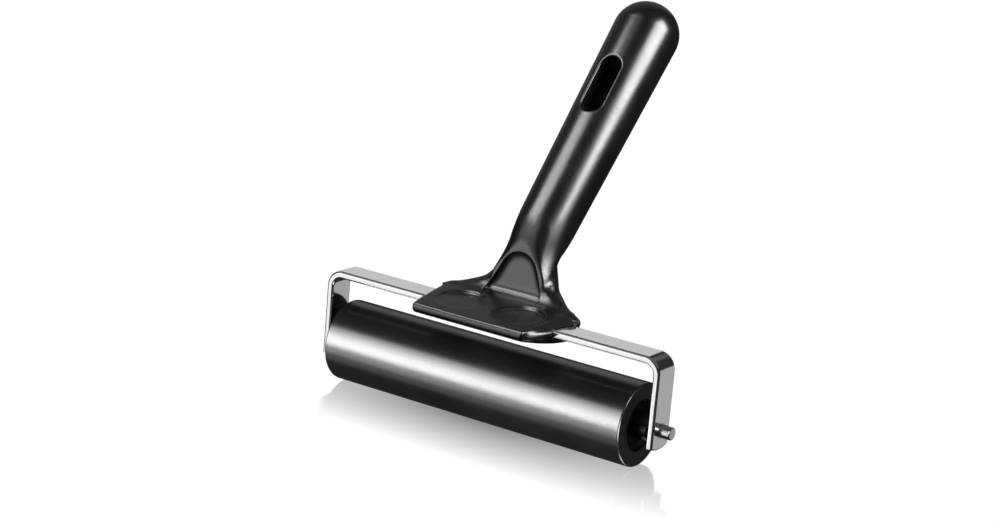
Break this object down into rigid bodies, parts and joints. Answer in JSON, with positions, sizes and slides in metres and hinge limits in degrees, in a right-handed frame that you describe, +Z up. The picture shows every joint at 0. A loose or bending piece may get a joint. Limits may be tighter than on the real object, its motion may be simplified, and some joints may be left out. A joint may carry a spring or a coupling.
{
  "type": "rubber brayer",
  "caption": "Hand roller: a black rubber roller turns on a steel axle in a U-shaped strip frame with a leaning moulded grip.",
  "frame": {"origin": "on the surface that the roller stands on, under the middle of the object's box", "axes": "+X along the axle, +Y to the back, where the grip leans, +Z up along the frame's arms"},
  "size_m": [0.1754, 0.137, 0.1707],
  "materials": {
    "bright_steel": "polished bright plating on a flat strip",
    "axle_steel": "bright turned rod",
    "handle_plastic": "semi-gloss moulded plastic",
    "rubber": "smooth ground rubber with a soft shine",
    "core_plastic": "plain extruded tube",
    "plug_plastic": "plain moulded plastic",
    "bush_plastic": "plain moulded nylon"
  },
  "bodies": {
    "holder": {"frame": "bright_steel", "handle": "handle_plastic", "axle": "axle_steel"},
    "roller": {"rubber_sleeve": "rubber", "core_tube": "core_plastic", "left_end_plug": "plug_plastic", "right_end_plug": "plug_plastic", "left_bush": "bush_plastic", "right_bush": "bush_plastic"}
  },
  "joints": [
    {"name": "roller_spin", "type": "hinge", "parent": "holder", "child": "roller", "pos_m": [-0.0019, -0.04689, 0.01775], "axis": [1, 0, 0], "continuous": true}
  ]
}
